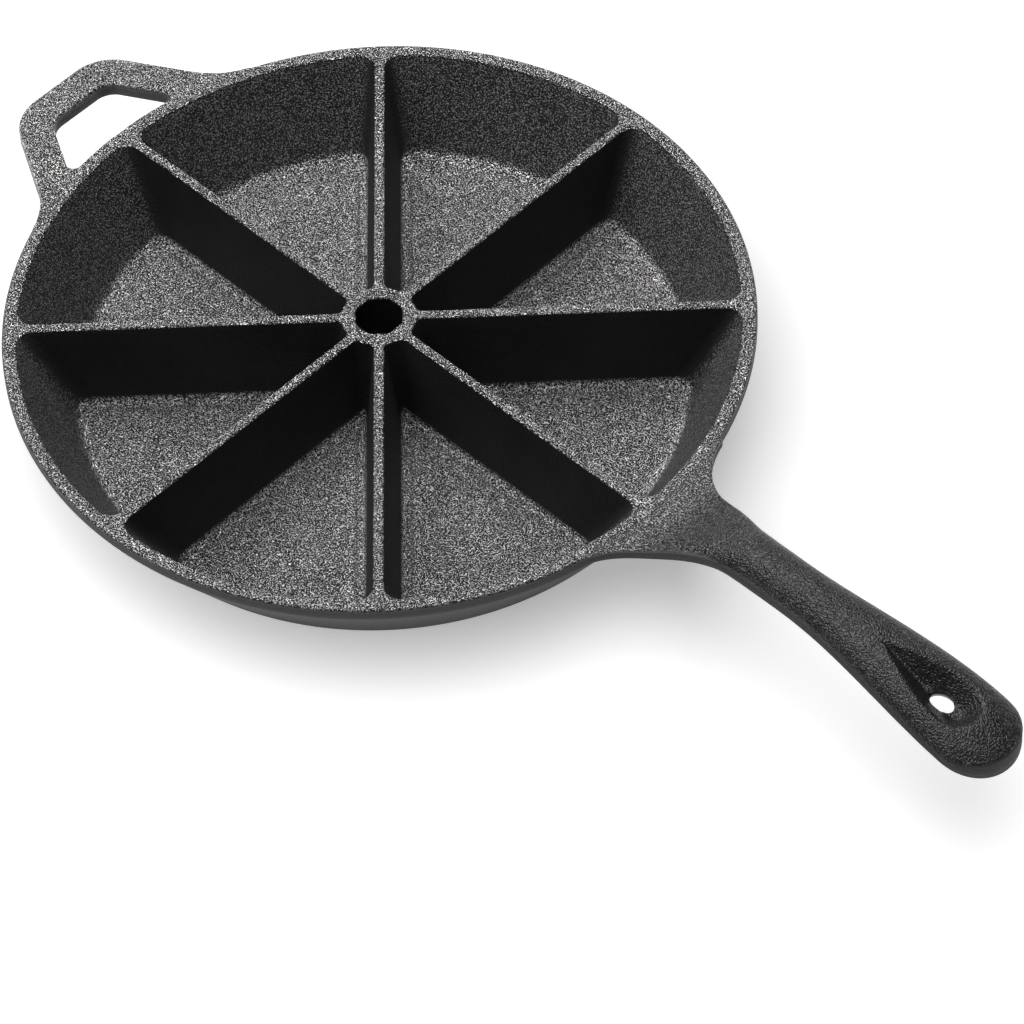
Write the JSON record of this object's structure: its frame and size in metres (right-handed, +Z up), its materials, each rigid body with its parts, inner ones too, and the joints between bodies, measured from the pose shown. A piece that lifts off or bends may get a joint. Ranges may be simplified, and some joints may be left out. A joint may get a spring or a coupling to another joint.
{
  "type": "wedge pan",
  "caption": "Round cast iron baking pan divided into wedge pockets round a central hub, with a long crowned handle and a loop helper handle opposite.",
  "frame": {"origin": "on the pan's axis, at the flat face it stands on", "axes": "+X along the long handle, +Z up out of the pockets, +Y to the left seen from the hub towards the long handle"},
  "size_m": [0.4392, 0.254, 0.0571],
  "materials": {
    "cast_iron": "pre-seasoned, matt black with fine sand-cast grain"
  },
  "bodies": {
    "root": {"base_plate": "cast_iron", "side_wall": "cast_iron", "hub": "cast_iron", "divider_1": "cast_iron", "divider_2": "cast_iron", "divider_3": "cast_iron", "divider_4": "cast_iron", "divider_5": "cast_iron", "divider_6": "cast_iron", "divider_7": "cast_iron", "divider_8": "cast_iron", "helper_handle": "cast_iron", "handle_gusset": "cast_iron", "handle_grip": "cast_iron"}
  },
  "joints": []
}
